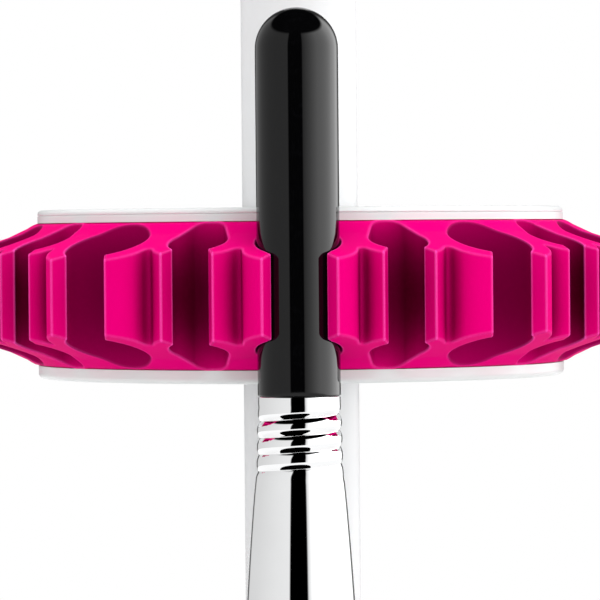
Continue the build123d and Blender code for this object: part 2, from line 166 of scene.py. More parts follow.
# ---------------------------------------------------------------- base plate, ballast and its screws
# A grey moulded plate closes the underside. It carries a turned steel ballast ring and is held by four
# zinc-plated self-tapping screws.

grey_moulding = moulded_plastic(
    "grey_moulding", (0.42, 0.42, 0.43), (0.38, 0.38, 0.39), 0.5, 0.5 * mm, 0.03 * mm
)
finish_node("base_plate", grey_moulding)


def plated_steel(name, colour, roughness, turning):
    """Turned and zinc-plated steel: faint tool rings round the piece and a cloudy plating."""
    material = bpy.data.materials.new(name)
    nodes, links = blank_tree(material)

    turning_frame = nodes.new("NodeFrame")
    turning_frame.label = "Tool rings"
    plating_frame = nodes.new("NodeFrame")
    plating_frame.label = "Plating"

    place = nodes.new("ShaderNodeTexCoord")
    place.label = "Place on the piece"

    rings = nodes.new("ShaderNodeTexWave")
    rings.label = "Tool feed"
    rings.wave_type = "RINGS"
    rings.rings_direction = "Z"
    rings.inputs["Scale"].default_value = turning
    rings.inputs["Distortion"].default_value = 0.6

    relief = nodes.new("ShaderNodeBump")
    relief.label = "Tool ring relief"
    relief.inputs["Strength"].default_value = 0.15
    relief.inputs["Distance"].default_value = 0.01 * mm

    cloud = nodes.new("ShaderNodeTexNoise")
    cloud.label = "Cloudy zinc"
    cloud.inputs["Scale"].default_value = 180.0
    cloud.inputs["Detail"].default_value = 6.0

    plating = nodes.new("ShaderNodeValToRGB")
    plating.label = "Zinc light and dark"
    plating.color_ramp.elements[0].position = 0.35
    plating.color_ramp.elements[0].color = (*[part * 0.8 for part in colour], 1.0)
    plating.color_ramp.elements[1].position = 0.65
    plating.color_ramp.elements[1].color = (*colour, 1.0)

    gloss = nodes.new("ShaderNodeMapRange")
    gloss.label = "Bright and dull zinc"
    gloss.inputs["To Min"].default_value = roughness * 0.7
    gloss.inputs["To Max"].default_value = roughness * 1.3

    surface = nodes.new("ShaderNodeBsdfPrincipled")
    surface.label = "Plated metal"
    surface.inputs["Metallic"].default_value = 1.0

    output = nodes.new("ShaderNodeOutputMaterial")
    output.label = "Finished piece"

    lay_out(
        place,
        (surface, output),
        (plating_frame, cloud, plating, gloss),
        (turning_frame, rings, relief),
    )
    links.new(place.outputs["Object"], rings.inputs["Vector"])
    links.new(place.outputs["Object"], cloud.inputs["Vector"])
    links.new(rings.outputs["Fac"], relief.inputs["Height"])
    links.new(relief.outputs["Normal"], surface.inputs["Normal"])
    links.new(cloud.outputs["Fac"], plating.inputs["Fac"])
    links.new(cloud.outputs["Fac"], gloss.inputs["Value"])
    links.new(plating.outputs["Color"], surface.inputs["Base Color"])
    links.new(gloss.outputs["Result"], surface.inputs["Roughness"])
    links.new(surface.outputs["BSDF"], output.inputs["Surface"])
    return material


zinc_steel = plated_steel("zinc_steel", (0.62, 0.62, 0.64), 0.28, 900.0)
for node in ("base_ballast", "base_plate_screws"):
    finish_node(node, zinc_steel)

# ---------------------------------------------------------------- foot pads
# Four soft rubber discs, bonded into shallow seats in the base plate. Each is moulded with a rounded
# edge and grip rings on the side that meets the table.


def round_point(centre, radius, turn, height):
    """A place at a radius and a turn, in radians, about the upright line through centre."""
    return (centre[0] + radius * cos(turn), centre[1] + radius * sin(turn), height)


def bridge(shape, rows):
    """Joins each row of points round a shape to the next with faces; a row of one point is a tip."""
    for lower, upper in zip(rows, rows[1:]):
        count = max(len(lower), len(upper))
        for step in range(count):
            following = (step + 1) % count
            if len(lower) == 1:
                corners = (lower[0], upper[following], upper[step])
            elif len(upper) == 1:
                corners = (lower[step], lower[following], upper[0])
            else:
                corners = (lower[step], lower[following], upper[following], upper[step])
            shape.faces.new(corners)


def smooth_mesh(name, shape):
    """Turns a bmesh into a mesh with smooth faces, and frees it."""
    for face in shape.faces:
        face.smooth = True
    mesh = bpy.data.meshes.new(name)
    shape.to_mesh(mesh)
    shape.free()
    return mesh


def lathe(name, outline, centre, steps):
    """A turned shape: outline holds (radius, height) pairs, turned about an upright line through centre."""
    shape = bmesh.new()
    rows = []
    for radius, height in outline:
        count = steps if radius > 0 else 1
        turns = [2 * pi * step / count for step in range(count)]
        rows.append([shape.verts.new(round_point(centre, radius, turn, height)) for turn in turns])
    bridge(shape, rows)
    bmesh.ops.recalc_face_normals(shape, faces=shape.faces)
    return smooth_mesh(name, shape)


def put(name, data):
    """Makes an object from its mesh, light or camera and puts it in the scene."""
    thing = bpy.data.objects.new(name, data)
    bpy.context.scene.collection.objects.link(thing)
    return thing


def set_piece(name, mesh, material, body):
    """Makes a piece from a mesh in its place, gives it a material and lets it ride on a body."""
    piece = put(name, mesh)
    mesh.materials.append(material)
    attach(piece, body)
    return piece


def soft_rubber(name, colour, roughness):
    """Matte moulded rubber with a dusty bloom and a fine, dry skin."""
    material = bpy.data.materials.new(name)
    nodes, links = blank_tree(material)

    bloom_frame = nodes.new("NodeFrame")
    bloom_frame.label = "Bloom"
    skin_frame = nodes.new("NodeFrame")
    skin_frame.label = "Skin"

    place = nodes.new("ShaderNodeTexCoord")
    place.label = "Place on the piece"

    dust = nodes.new("ShaderNodeTexNoise")
    dust.label = "Dusty bloom"
    dust.inputs["Scale"].default_value = 400.0
    dust.inputs["Detail"].default_value = 6.0

    tone = nodes.new("ShaderNodeValToRGB")
    tone.label = "Rubber and bloom"
    tone.color_ramp.elements[0].position = 0.4
    tone.color_ramp.elements[0].color = (*colour, 1.0)
    tone.color_ramp.elements[1].position = 0.8
    tone.color_ramp.elements[1].color = (*[part * 1.5 for part in colour], 1.0)

    skin = nodes.new("ShaderNodeTexNoise")
    skin.label = "Dry skin"
    skin.inputs["Scale"].default_value = 3500.0

    relief = nodes.new("ShaderNodeBump")
    relief.label = "Skin relief"
    relief.inputs["Strength"].default_value = 0.4
    relief.inputs["Distance"].default_value = 0.02 * mm

    surface = nodes.new("ShaderNodeBsdfPrincipled")
    surface.label = "Rubber"
    surface.inputs["Roughness"].default_value = roughness
    surface.inputs["Specular IOR Level"].default_value = 0.35

    output = nodes.new("ShaderNodeOutputMaterial")
    output.label = "Finished piece"

    lay_out(place, (surface, output), (bloom_frame, dust, tone), (skin_frame, skin, relief))
    links.new(place.outputs["Object"], dust.inputs["Vector"])
    links.new(place.outputs["Object"], skin.inputs["Vector"])
    links.new(dust.outputs["Fac"], tone.inputs["Fac"])
    links.new(tone.outputs["Color"], surface.inputs["Base Color"])
    links.new(skin.outputs["Fac"], relief.inputs["Height"])
    links.new(relief.outputs["Normal"], surface.inputs["Normal"])
    links.new(surface.outputs["BSDF"], output.inputs["Surface"])
    return material


grey_rubber = soft_rubber("grey_rubber", (0.05, 0.05, 0.053), 0.75)
pads_low, pads_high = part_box("foot_pads")
pad_count = 4
pad_radius = 8.0 * mm
pad_place = pads_high.x - pad_radius
pad_bond = 0.05 * mm
pad_seat_edge = 0.2 * mm
pad_seat_depth = 0.3 * mm
pad_edge = 0.5 * mm
pad_edge_middle = 0.15 * mm
pad_grooves = 3
groove_spacing = 1.6 * mm
groove_mouth = 0.45 * mm
groove_floor = 0.25 * mm
grip_groove = 0.35 * mm

pad_outline = [
    (0.0, pads_high.z - pad_bond),
    (pad_radius - pad_seat_edge, pads_high.z - pad_bond),
    (pad_radius, pads_high.z - pad_seat_depth),
    (pad_radius, pads_low.z + pad_edge),
    (pad_radius - pad_edge_middle, pads_low.z + pad_edge_middle),
    (pad_radius - pad_edge, pads_low.z),
]
for number in range(pad_grooves):
    groove = pad_radius - groove_spacing * (number + 1)
    pad_outline += [
        (groove + groove_mouth, pads_low.z),
        (groove + groove_floor, pads_low.z + grip_groove),
        (groove - groove_floor, pads_low.z + grip_groove),
        (groove - groove_mouth, pads_low.z),
    ]
pad_outline.append((0.0, pads_low.z))
for number in range(pad_count):
    pad_turn = 2 * pi * number / pad_count
    pad_centre = (pad_place * cos(pad_turn), pad_place * sin(pad_turn))
    pad_name = f"foot_pad_{number + 1}"
    foot_pad = set_piece(pad_name, lathe(pad_name, pad_outline, pad_centre, steps=64), grey_rubber, "tower")
    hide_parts("foot_pads")

# ---------------------------------------------------------------- pole
# Two white extruded tubes, butted on a hollow joiner. A screw through the base pulls on a threaded plug
# in the lower tube, and a domed cap closes the top.

white_tube = moulded_plastic(
    "white_tube", (0.71, 0.712, 0.72), (0.69, 0.692, 0.70), 0.42, 0.5 * mm, 0.006 * mm
)
for node in ("lower_pole", "upper_pole"):
    finish_node(node, white_tube)
finish_node("top_cap", white_moulding)
for node in ("pole_joiner", "pole_foot_plug"):
    finish_node(node, grey_moulding)
for node in ("pole_washer", "pole_screw"):
    finish_node(node, zinc_steel)

# ---------------------------------------------------------------- hub
# A grey acetal sleeve slides on the pole, held by two rubber rings in its bore. A washer and a spring
# clip keep the spool on it, so that the spool can turn.

finish_node("hub_sleeve", grey_moulding)
finish_node("pole_grips", grey_rubber)
for node in ("thrust_washer", "hub_clip"):
    finish_node(node, zinc_steel)

# ---------------------------------------------------------------- spool
# Drum with the lower flange, clamp plate with the upper one, and a thin cover over the six screws. All
# three are white mouldings with the same satin polish as the base.

for node in ("spool_drum", "clamp_plate", "spool_cover"):
    finish_node(node, white_moulding)
finish_node("clamp_screws", zinc_steel)

# ---------------------------------------------------------------- grip ring
# One magenta silicone moulding, stretched over the drum. Between its twenty pockets stand forked teeth,
# with a long thin lip beside each large pocket and a short stout lip beside each small one.

ring_low, ring_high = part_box("brush_grip_ring")
ring_middle = (ring_low.z + ring_high.z) / 2
ring_half_height = (ring_high.z - ring_low.z) / 2
ring_bore = 46.4 * mm
flange_radius = 50.7 * mm
shoulder_radius = 51.0 * mm
cone_radius = 54.9 * mm
cone_half_height = 11.42 * mm
cone_slope = 0.33
edge_round = 0.35 * mm

pocket_pairs = 10
pocket_pitch = 180.0 / pocket_pairs
loaded_angle = -90.0
large_pocket_radius = 7.7 * mm
large_pocket_place = 59.4 * mm
small_pocket_radius = 5.4 * mm
small_pocket_place = 58.6 * mm
small_root_radius = 3.5 * mm
small_root_place = 54.3 * mm

# A tooth's corners: distance from the pole's axis, and degrees from its middle towards the large pocket.
long_lip_inner = (65.95 * mm, 5.2)
long_lip_outer = (68.5 * mm, 3.8)
notch = (61.8 * mm, -1.3)
short_lip_outer = (65.4 * mm, -4.7)
short_lip_inner = (62.96 * mm, -5.9)
long_lip_bow = 1.3 * mm
short_lip_bow = 0.45 * mm
lip_corner = 0.28 * mm
notch_round = 1.0 * mm

# A pocket's round wall stops this many degrees short of the lip's corner.
wall_stop = 9.0

# How far the held handle bends the lips on its two sides: inner corner, outer corner and notch, in degrees.
loaded_shift = {-1: (0.39, 0.17, -0.77), 1: (0.72, 0.73, 0.0)}


def polar(radius, angle):
    """A point in plan from its distance to the pole's axis and its angle in degrees."""
    return Vector((radius * cos(radians(angle)), radius * sin(radians(angle))))


def round_wall(centre, radius, start, end, pieces):
    """Points along a round wall, from one direction to another in degrees."""
    return [centre + polar(radius, start + (end - start) * i / pieces) for i in range(pieces + 1)]


def bowed_wall(start, end, bow, pieces):
    """Points between two corners along a shallow curve, without the corners; bow is the rise to its left."""
    along = end - start
    left = Vector((-along.y, along.x)).normalized()
    shares = [i / pieces for i in range(1, pieces)]
    return [start + along * share + left * (4 * bow * share * (1 - share)) for share in shares]


def round_off(before, corner, after, radius, pieces):
    """A sharp corner in plan turned into a small round one."""
    longest_share = 0.8
    back = (before - corner).normalized()
    on = (after - corner).normalized()
    reach = radius / tan(back.angle(on) / 2)
    start = corner + back * min(reach, (before - corner).length * longest_share)
    end = corner + on * min(reach, (after - corner).length * longest_share)
    shares = [i / pieces for i in range(pieces + 1)]
    return [start * (1 - s) ** 2 + corner * (2 * s * (1 - s)) + end * s**2 for s in shares]


def turn_between(middle, point, angle):
    """Degrees at a pocket's middle between its outward line, at an angle, and a corner."""
    to_point = point - middle
    return abs((degrees(atan2(to_point.y, to_point.x)) - angle + 180) % 360 - 180)


def half_tooth_wall(large_angle, side, loaded):
    """The wall from the middle of a large pocket to the middle of the small one beside it."""
    tooth = large_angle + side * pocket_pitch / 2
    small_angle = large_angle + side * pocket_pitch
    large_middle = polar(large_pocket_place, large_angle)
    small_middle = polar(small_pocket_place, small_angle)
    root_middle = polar(small_root_place, small_angle)

    def place(point, pushed=0.0):
        return polar(point[0], tooth - side * (point[1] - pushed))

    inner_push, outer_push, notch_push = loaded_shift[side] if loaded else (0.0, 0.0, 0.0)
    long_inner = place(long_lip_inner, inner_push)
    long_outer = place(long_lip_outer, outer_push)
    bottom = place(notch, notch_push)
    short_outer = place(short_lip_outer)
    short_inner = place(short_lip_inner)

    lip_turn = turn_between(large_middle, long_inner, large_angle) + wall_stop
    short_turn = turn_between(small_middle, short_inner, small_angle) + wall_stop
    root_turn = degrees(
        acos((small_root_radius - small_pocket_radius) / (small_pocket_place - small_root_place))
    )
    lip_end = large_angle + side * lip_turn
    short_end = small_angle - side * short_turn
    root_start = small_angle - side * root_turn
    floor_angle = large_angle + side * 180
    root_angle = small_angle - side * 180
    large_wall = round_wall(large_middle, large_pocket_radius, floor_angle, lip_end, pieces=18)
    small_wall = round_wall(small_middle, small_pocket_radius, short_end, root_start, pieces=10)
    root_wall = round_wall(root_middle, small_root_radius, root_start, root_angle, pieces=6)
    # The bows lose their two points next to the notch, where its round bottom takes over.
    long_bow = bowed_wall(long_outer, bottom, -side * long_lip_bow, pieces=9)[:-2]
    short_bow = bowed_wall(bottom, short_outer, -side * short_lip_bow, pieces=6)[2:]
    return (
        large_wall
        + round_off(large_wall[-1], long_inner, long_outer, lip_corner, pieces=4)
        + round_off(long_inner, long_outer, long_bow[0], lip_corner, pieces=4)
        + long_bow
        + round_off(long_bow[-1], bottom, short_bow[0], notch_round, pieces=8)
        + short_bow
        + round_off(short_bow[-1], short_outer, short_inner, lip_corner, pieces=4)
        + round_off(short_outer, short_inner, small_wall[0], lip_corner, pieces=4)
        + small_wall
        + root_wall
    )


outline = []
for pair in range(pocket_pairs):
    large_angle = loaded_angle + 2 * pocket_pitch * pair
    loaded = pair == 0
    outline += list(reversed(half_tooth_wall(large_angle, -1, loaded)))[:-1]
    outline += half_tooth_wall(large_angle, 1, loaded)[:-1]


def smooth_share(value, start, end):
    """0 before start, 1 after end, and an even ease between."""
    share = min(1.0, max(0.0, (value - start) / (end - start)))
    return share * share * (3 - 2 * share)


def cone_height(radius):
    """Half the ring's height on the cone at a distance from the pole's axis."""
    return cone_half_height - cone_slope * (radius - cone_radius)


shoulder_step = ring_half_height - cone_height(flange_radius)


def ring_height(point):
    """Half the ring's height at a place in plan: level, a soft step beside the flange, then the cone."""
    step = shoulder_step * (1 - smooth_share(point.length, shoulder_radius, cone_radius))
    return min(ring_half_height, cone_height(point.length) + step)


def inset(loop, distance):
    """A closed outline moved inwards, into the silicone, by a small distance."""
    sharpest_cosine = 0.75
    moved = []
    for i, here in enumerate(loop):
        before = (here - loop[i - 1]).normalized()
        after = (loop[(i + 1) % len(loop)] - here).normalized()
        left = Vector((-before.y - after.y, before.x + after.x)).normalized()
        stretch = 1 / max(sharpest_cosine, left.dot(Vector((-before.y, before.x))))
        moved.append(here + left * distance * stretch)
    return moved


def inside(point, loop):
    """Whether a point in plan lies within a closed outline."""
    hits = False
    for i, here in enumerate(loop):
        there = loop[i - 1]
        if (here.y > point.y) != (there.y > point.y):
            if point.x < (there.x - here.x) * (point.y - here.y) / (there.y - here.y) + here.x:
                hits = not hits
    return hits


def edge_row(turn, side):
    """A row of the rounded edge between the walls and the face above, side 1, or below, side -1."""
    loop = inset(outline, edge_round * (1 - cos(turn)))
    return [(point, side * (ring_height(point) - edge_round * (1 - sin(turn)))) for point in loop]


round_steps = 4
wall_rows = 4
edge_turns = [pi / 2 * step / round_steps for step in range(round_steps + 1)]
rows = [edge_row(turn, -1) for turn in reversed(edge_turns)]
for row in range(1, wall_rows):
    share = 2 * row / wall_rows - 1
    rows.append([(point, share * (ring_height(point) - edge_round)) for point in outline])
rows += [edge_row(turn, 1) for turn in edge_turns]
walls = bmesh.new()
made = [[walls.verts.new((spot.x, spot.y, ring_middle + height)) for spot, height in row] for row in rows]
bridge(walls, made)

# The two faces: a grid of points over the silicone, finest on the shoulder beside the flange.
bore_steps = 180
grid_step = 1.7 * mm
fine_step = 0.65 * mm
round_spacing = 2 * fine_step
grid_margin = 0.6 * mm
merge_distance = 1e-7
inside_only = 1
unbroken_radius = 50.0 * mm
face_loop = [point for point, height in rows[-1]]
bore_loop = [polar(ring_bore, 360 * i / bore_steps) for i in range(bore_steps)]
clearance = inset(outline, edge_round + grid_margin)
grid = []
radius = ring_bore + grid_step
while radius < long_lip_outer[0]:
    count = round(2 * pi * radius / round_spacing)
    for i in range(count):
        spot = polar(radius, 360 * (i + 0.5) / count)
        if radius < unbroken_radius or inside(spot, clearance):
            grid.append(spot)
    radius += fine_step if flange_radius - fine_step < radius < cone_radius + fine_step else grid_step
face_edges = []
for start, count in ((0, len(face_loop)), (len(face_loop), bore_steps)):
    face_edges += [(start + i, start + (i + 1) % count) for i in range(count)]
face_points = face_loop + bore_loop + grid
spots, _, triangles, *_ = delaunay_2d_cdt(face_points, face_edges, [], inside_only, merge_distance)
bores = []
for side, edge in ((1, made[-1]), (-1, made[0])):
    corners = list(edge)
    for spot in spots[len(face_loop) :]:
        corners.append(walls.verts.new((spot.x, spot.y, ring_middle + side * ring_height(spot))))
    for triangle in triangles:
        middle = sum((spots[i] for i in triangle), Vector((0.0, 0.0))) / 3
        if middle.length > ring_bore * cos(pi / bore_steps):
            walls.faces.new([corners[i] for i in triangle[::side]])
    bores.append(corners[len(face_loop) : len(face_loop) + bore_steps])
bridge(walls, bores)
bmesh.ops.recalc_face_normals(walls, faces=walls.faces)
ring_mesh = smooth_mesh("grip_ring", walls)

# Painted shade: the walls of the large pockets are marked so that the material can darken them; the mark
# fades outwards.
wall_reach = (0.02 * mm, 0.3 * mm)
fade_reach = (60.0 * mm, 66.0 * mm)
mark_fade = 0.7
pocket_wall_shade = ring_mesh.attributes.new("pocket_wall", "FLOAT", "POINT")
for vertex, mark in zip(ring_mesh.vertices, pocket_wall_shade.data):
    spot = vertex.co.to_2d()
    pair = round((degrees(atan2(spot.y, spot.x)) - loaded_angle) / (2 * pocket_pitch))
    pocket = polar(large_pocket_place, loaded_angle + 2 * pocket_pitch * pair)
    at_wall = 1 - smooth_share((spot - pocket).length - large_pocket_radius, *wall_reach)
    mark.value = at_wall * (1 - mark_fade * smooth_share(spot.length, *fade_reach))


def silicone(name, lit, deep, shadow, edge, polish):
    """Satin silicone with painted light: shadow is the painted shade of the pockets, edge the painted
    highlight on thin edges, and polish the painted shade factor on the large pocket walls; the skin is
    finely textured by the tool.
    """
    material = bpy.data.materials.new(name)
    nodes, links = blank_tree(material)

    colour_frame = nodes.new("NodeFrame")
    colour_frame.label = "Pigment"
    gloss_frame = nodes.new("NodeFrame")
    gloss_frame.label = "Satin"
    skin_frame = nodes.new("NodeFrame")
    skin_frame.label = "Skin"
    edge_highlight_frame = nodes.new("NodeFrame")
    edge_highlight_frame.label = "Thin edges"
    wall_shade_frame = nodes.new("NodeFrame")
    wall_shade_frame.label = "Polished pocket walls"

    place = nodes.new("ShaderNodeTexCoord")
    place.label = "Place on the ring"

    swirl = nodes.new("ShaderNodeTexNoise")
    swirl.label = "Swirls of pigment"
    swirl.inputs["Scale"].default_value = 70.0
    swirl.inputs["Detail"].default_value = 4.0
    swirl.inputs["Distortion"].default_value = 0.4

    pigment = nodes.new("ShaderNodeValToRGB")
    pigment.label = "Thin to rich pigment"
    pigment.color_ramp.elements[0].position = 0.25
    pigment.color_ramp.elements[0].color = (*deep, 1.0)
    pigment.color_ramp.elements[1].position = 0.75
    pigment.color_ramp.elements[1].color = (*lit, 1.0)

    patches = nodes.new("ShaderNodeTexNoise")
    patches.label = "Satin patches"
    patches.inputs["Scale"].default_value = 240.0
    patches.inputs["Detail"].default_value = 5.0

    gloss = nodes.new("ShaderNodeMapRange")
    gloss.label = "Satin range"
    gloss.inputs["To Min"].default_value = 0.42
    gloss.inputs["To Max"].default_value = 0.54

    frost = nodes.new("ShaderNodeTexNoise")
    frost.label = "Frosted tool finish"
    frost.inputs["Scale"].default_value = 4200.0
    frost.inputs["Detail"].default_value = 3.0

    relief = nodes.new("ShaderNodeBump")
    relief.label = "Frost relief"
    relief.inputs["Strength"].default_value = 0.25
    relief.inputs["Distance"].default_value = 0.012 * mm

    # Painted shade: by how open each place is, the pigment is mixed towards the shadow colour, so the
    # pockets and notches come out darker where shade falls.
    recess = nodes.new("ShaderNodeAmbientOcclusion")
    recess.label = "How open the place is"
    recess.samples = 8
    recess.only_local = True
    recess.inputs["Distance"].default_value = 14.0 * mm

    openness = nodes.new("ShaderNodeMapRange")
    openness.label = "Pocket floor to open face"
    openness.inputs["From Min"].default_value = 0.34
    openness.inputs["From Max"].default_value = 0.97

    # This mix paints the shade of the pockets into the base colour.
    painted_pocket_shade = nodes.new("ShaderNodeMix")
    painted_pocket_shade.label = "Pigment deepens in the pockets"
    painted_pocket_shade.data_type = "RGBA"
    painted_pocket_shade.inputs["A"].default_value = (*shadow, 1.0)

    # Painted highlight: where the silicone is thin, along edges and lip corners, a bright pink is mixed into
    # the colour so that the edges look lit.
    thin = nodes.new("ShaderNodeAmbientOcclusion")
    thin.label = "How thin the silicone is"
    thin.samples = 8
    thin.inside = True
    thin.only_local = True
    thin.inputs["Distance"].default_value = 0.5 * mm

    rim = nodes.new("ShaderNodeMapRange")
    rim.label = "Thick to thin"
    rim.inputs["From Min"].default_value = 0.5
    rim.inputs["From Max"].default_value = 0.95
    rim.inputs["To Min"].default_value = 1.0
    rim.inputs["To Max"].default_value = 0.0

    # This mix paints the bright edge highlight into the base colour.
    painted_edge_highlight = nodes.new("ShaderNodeMix")
    painted_edge_highlight.label = "Light soaks through the edges"
    painted_edge_highlight.data_type = "RGBA"
    painted_edge_highlight.inputs["B"].default_value = (*edge, 1.0)

    # Painted shade: the marked walls of the large pockets are multiplied by the polish factor, so they come
    # out darker.
    wall = nodes.new("ShaderNodeAttribute")
    wall.label = "Wall of a large pocket"
    wall.attribute_name = "pocket_wall"

    # This multiply paints the shade of the large pocket walls into the base colour.
    painted_wall_shade = nodes.new("ShaderNodeMix")
    painted_wall_shade.label = "Polished walls look deeper"
    painted_wall_shade.data_type = "RGBA"
    painted_wall_shade.blend_type = "MULTIPLY"
    painted_wall_shade.inputs["B"].default_value = (*[polish] * 3, 1.0)

    surface = nodes.new("ShaderNodeBsdfPrincipled")
    surface.label = "Silicone"
    surface.inputs["IOR"].default_value = 1.41
    surface.inputs["Specular IOR Level"].default_value = 0.005
    surface.inputs["Specular Tint"].default_value = (1.0, 0.25, 0.75, 1.0)

    output = nodes.new("ShaderNodeOutputMaterial")
    output.label = "Finished ring"

    lay_out(
        place,
        (surface, output),
        (wall_shade_frame, wall, painted_wall_shade),
        (edge_highlight_frame, thin, rim, painted_edge_highlight),
        (colour_frame, recess, openness, swirl, pigment, painted_pocket_shade),
        (gloss_frame, patches, gloss),
        (skin_frame, frost, relief),
    )
    links.new(place.outputs["Object"], swirl.inputs["Vector"])
    links.new(place.outputs["Object"], patches.inputs["Vector"])
    links.new(place.outputs["Object"], frost.inputs["Vector"])
    links.new(swirl.outputs["Fac"], pigment.inputs["Fac"])
    links.new(recess.outputs["AO"], openness.inputs["Value"])
    links.new(openness.outputs["Result"], painted_pocket_shade.inputs["Factor"])
    links.new(pigment.outputs["Color"], painted_pocket_shade.inputs["B"])
    links.new(thin.outputs["AO"], rim.inputs["Value"])
    links.new(rim.outputs["Result"], painted_edge_highlight.inputs["Factor"])
    links.new(painted_pocket_shade.outputs["Result"], painted_edge_highlight.inputs["A"])
    links.new(wall.outputs["Fac"], painted_wall_shade.inputs["Factor"])
    links.new(painted_edge_highlight.outputs["Result"], painted_wall_shade.inputs["A"])
    links.new(painted_wall_shade.outputs["Result"], surface.inputs["Base Color"])
    links.new(patches.outputs["Fac"], gloss.inputs["Value"])
    links.new(gloss.outputs["Result"], surface.inputs["Roughness"])
    links.new(frost.outputs["Fac"], relief.inputs["Height"])
    links.new(relief.outputs["Normal"], surface.inputs["Normal"])
    links.new(surface.outputs["BSDF"], output.inputs["Surface"])
    return material


# Colours in order: the pigment, a second pigment tone, the painted pocket shade, the painted edge highlight,
# and the painted shade factor on the large pocket walls.
magenta_silicone = silicone(
    "magenta_silicone", (0.72, 0.0, 0.168), (0.69, 0.0, 0.153), (0.06, 0.0, 0.007), (1.0, 0.13, 0.6), 0.48
)
grip_ring = set_piece("grip_ring", ring_mesh, magenta_silicone, "spool")
even_shading = grip_ring.modifiers.new("Even shading", "WEIGHTED_NORMAL")
even_shading.keep_sharp = True
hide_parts("brush_grip_ring")

# ---------------------------------------------------------------- brush handle
# Turned birch, dipped in black lacquer until it shines. Its foot steps down to a tenon that the ferrule
# is crimped on; its top is a plain half ball.

handle_low, handle_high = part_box("brush_handle")
brush_centre = ((handle_low.x + handle_high.x) / 2, (handle_low.y + handle_high.y) / 2)
handle_radius = (handle_high.x - handle_low.x) / 2
handle_foot = ring_middle - 18.0 * mm
tenon_radius = 6.4 * mm
foot_round = 0.3 * mm
foot_steps = 6
straight_steps = 24
ball_steps = 28

handle_outline = [(0.0, handle_low.z), (tenon_radius, handle_low.z), (tenon_radius, handle_foot)]
for step in range(foot_steps + 1):
    turn = pi / 2 * step / foot_steps
    radius = handle_radius - foot_round + foot_round * sin(turn)
    handle_outline.append((radius, handle_foot + foot_round * (1 - cos(turn))))
straight_start = handle_foot + foot_round
ball_middle = handle_high.z - handle_radius
for step in range(1, straight_steps):
    share = step / straight_steps
    handle_outline.append((handle_radius, straight_start + (ball_middle - straight_start) * share))
for step in range(ball_steps + 1):
    turn = pi / 2 * step / ball_steps
    radius = handle_radius * cos(turn) if step < ball_steps else 0.0
    handle_outline.append((radius, ball_middle + handle_radius * sin(turn)))


def lacquer(name, colour):
    """Dipped black lacquer on wood: a clear wet gloss over black, with a trace of brush dust in it."""
    material = bpy.data.materials.new(name)
    nodes, links = blank_tree(material)

    dust_frame = nodes.new("NodeFrame")
    dust_frame.label = "Dust in the dip"
    flow_frame = nodes.new("NodeFrame")
    flow_frame.label = "Flow of the lacquer"

    place = nodes.new("ShaderNodeTexCoord")
    place.label = "Place on the handle"

    dust = nodes.new("ShaderNodeTexNoise")
    dust.label = "Dust motes"
    dust.inputs["Scale"].default_value = 900.0
    dust.inputs["Detail"].default_value = 2.0

    tone = nodes.new("ShaderNodeValToRGB")
    tone.label = "Black and a mote less black"
    tone.color_ramp.elements[0].position = 0.55
    tone.color_ramp.elements[0].color = (*colour, 1.0)
    tone.color_ramp.elements[1].position = 0.8
    tone.color_ramp.elements[1].color = (*[part * 2.0 for part in colour], 1.0)

    gloss = nodes.new("ShaderNodeMapRange")
    gloss.label = "Gloss under the clear"
    gloss.inputs["To Min"].default_value = 0.03
    gloss.inputs["To Max"].default_value = 0.07

    flow = nodes.new("ShaderNodeTexNoise")
    flow.label = "Slow waves"
    flow.inputs["Scale"].default_value = 90.0
    flow.inputs["Detail"].default_value = 1.0

    relief = nodes.new("ShaderNodeBump")
    relief.label = "Wave relief"
    relief.inputs["Strength"].default_value = 0.08
    relief.inputs["Distance"].default_value = 0.02 * mm

    surface = nodes.new("ShaderNodeBsdfPrincipled")
    surface.label = "Lacquer"
    surface.inputs["IOR"].default_value = 1.5
    surface.inputs["Specular IOR Level"].default_value = 0.27

    output = nodes.new("ShaderNodeOutputMaterial")
    output.label = "Finished handle"

    lay_out(place, (surface, output), (dust_frame, dust, tone, gloss), (flow_frame, flow, relief))
    links.new(place.outputs["Object"], dust.inputs["Vector"])
    links.new(place.outputs["Object"], flow.inputs["Vector"])
    links.new(dust.outputs["Fac"], tone.inputs["Fac"])
    links.new(dust.outputs["Fac"], gloss.inputs["Value"])
    links.new(tone.outputs["Color"], surface.inputs["Base Color"])
    links.new(gloss.outputs["Result"], surface.inputs["Roughness"])
    links.new(flow.outputs["Fac"], relief.inputs["Height"])
    links.new(relief.outputs["Normal"], surface.inputs["Normal"])
    links.new(surface.outputs["BSDF"], output.inputs["Surface"])
    return material


black_lacquer = lacquer("black_lacquer", (0.001, 0.001, 0.0012))
handle_mesh = lathe("lacquered_handle", handle_outline, brush_centre, steps=128)
handle = set_piece("lacquered_handle", handle_mesh, black_lacquer, "brush")
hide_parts("brush_handle")

# ---------------------------------------------------------------- ferrule
# A seamless brass tube, bright plated. It is crimped on the handle's tenon by a roller that runs round
# it in a screw line, which leaves bulges between the grooves, and it widens to hold the hair.

ferrule_low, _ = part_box("brush_ferrule")
mouth = ring_middle - ferrule_low.z
ferrule_wall = 0.45 * mm

# Distance below the ring's middle and radius of the tube, in millimetres.
ferrule_profile = (
    (18.05, 7.42),
    (21.0, 7.50),
    (23.0, 7.66),
    (26.0, 7.72),
    (29.0, 7.78),
    (31.5, 7.86),
    (36.0, 8.32),
    (45.0, 9.05),
    (55.0, 9.72),
    (61.0, 10.02),
    (66.9, 10.16),
)

groove_pitch = 3.0 * mm
groove_press = 0.55 * mm
groove_sharpness = 1.25
first_groove = 21.1 * mm
grooves_start = (19.2 * mm, 21.6 * mm)
grooves_fade = (24.0 * mm, 30.0 * mm)
grooves_end = (31.6 * mm, 33.6 * mm)
groove_fade = 0.45


